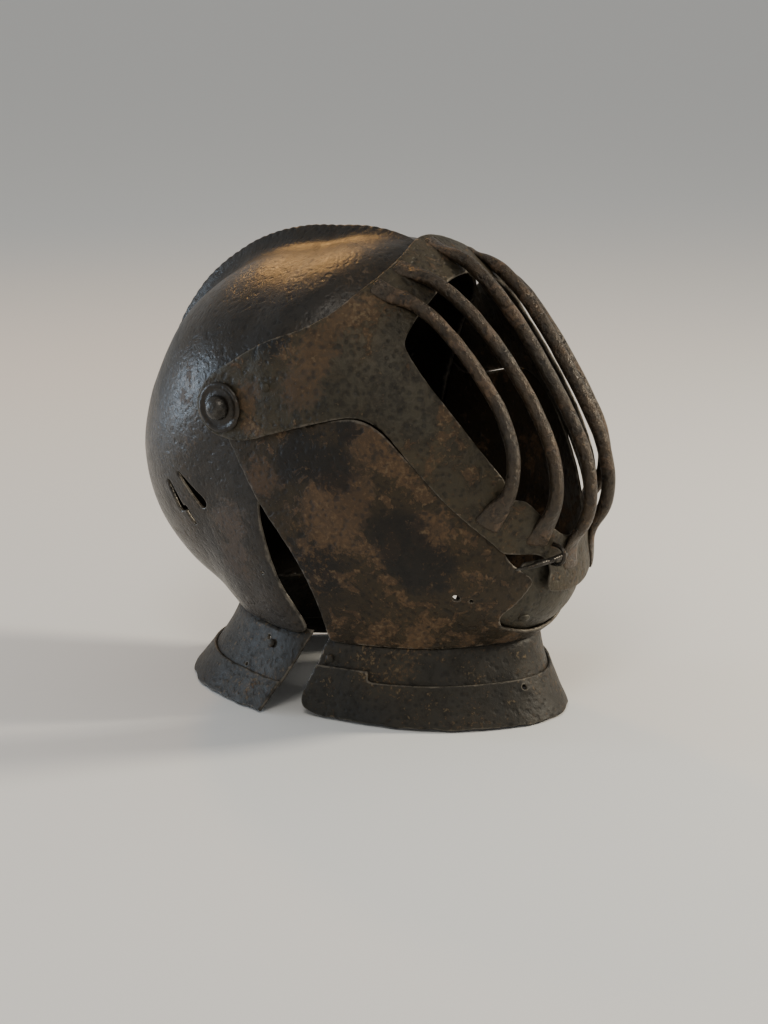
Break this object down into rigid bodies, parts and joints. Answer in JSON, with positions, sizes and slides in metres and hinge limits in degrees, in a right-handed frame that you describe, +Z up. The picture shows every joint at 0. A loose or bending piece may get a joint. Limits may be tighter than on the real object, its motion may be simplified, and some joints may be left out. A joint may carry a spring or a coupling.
{
  "type": "tournament helmet",
  "caption": "Close helmet with a low comb, hearing slots, a barred visor and a bevor turning on shared side pivots, a closed chin catch and a split flared collar.",
  "frame": {"origin": "centre of the bounding box, level with the lower rim of the collar, which stands on the floor", "axes": "+Z up, the face looks along -Y, the wearer's right side is at -X"},
  "size_m": [0.2284, 0.316, 0.2862],
  "materials": {
    "iron": "dark brown-grey patinated iron, semi-gloss, with a fine hammered surface and worn edges",
    "rusty_iron": "dark iron with blotched brown and orange rust, pitted, satin",
    "worn_iron": "iron rubbed bright on its high spots"
  },
  "bodies": {
    "skull_body": {"skull": "iron", "rear_neck_plate": "iron", "rear_lower_lame": "iron", "rear_collar_rivet_right": "iron", "rear_collar_rivet_left": "iron", "pivot_washer_right": "iron", "pivot_washer_left": "iron", "pivot_rivet_right": "worn_iron", "pivot_rivet_left": "worn_iron"},
    "bevor_body": {"bevor": "rusty_iron", "chin_plate": "iron", "chin_rivet": "iron", "front_collar_upper": "iron", "front_collar_lower": "iron", "front_collar_rivet_right": "iron", "front_collar_rivet_left": "iron"},
    "visor_body": {"visor": "rusty_iron", "visor_rivet_right": "iron", "visor_rivet_left": "iron", "bar_1": "rusty_iron", "bar_2": "rusty_iron", "bar_3": "rusty_iron", "bar_4": "rusty_iron", "bar_5": "rusty_iron", "catch_pin": "worn_iron", "catch_staple": "worn_iron"}
  },
  "joints": [
    {"name": "bevor_pivot", "type": "hinge", "parent": "skull_body", "child": "bevor_body", "pos_m": [0, 0.0352, 0.189], "axis": [-1, 0, 0], "range_deg": [0, 35]},
    {"name": "visor_pivot", "type": "hinge", "parent": "bevor_body", "child": "visor_body", "pos_m": [0, 0.0352, 0.189], "axis": [-1, 0, 0], "range_deg": [0, 50]}
  ]
}
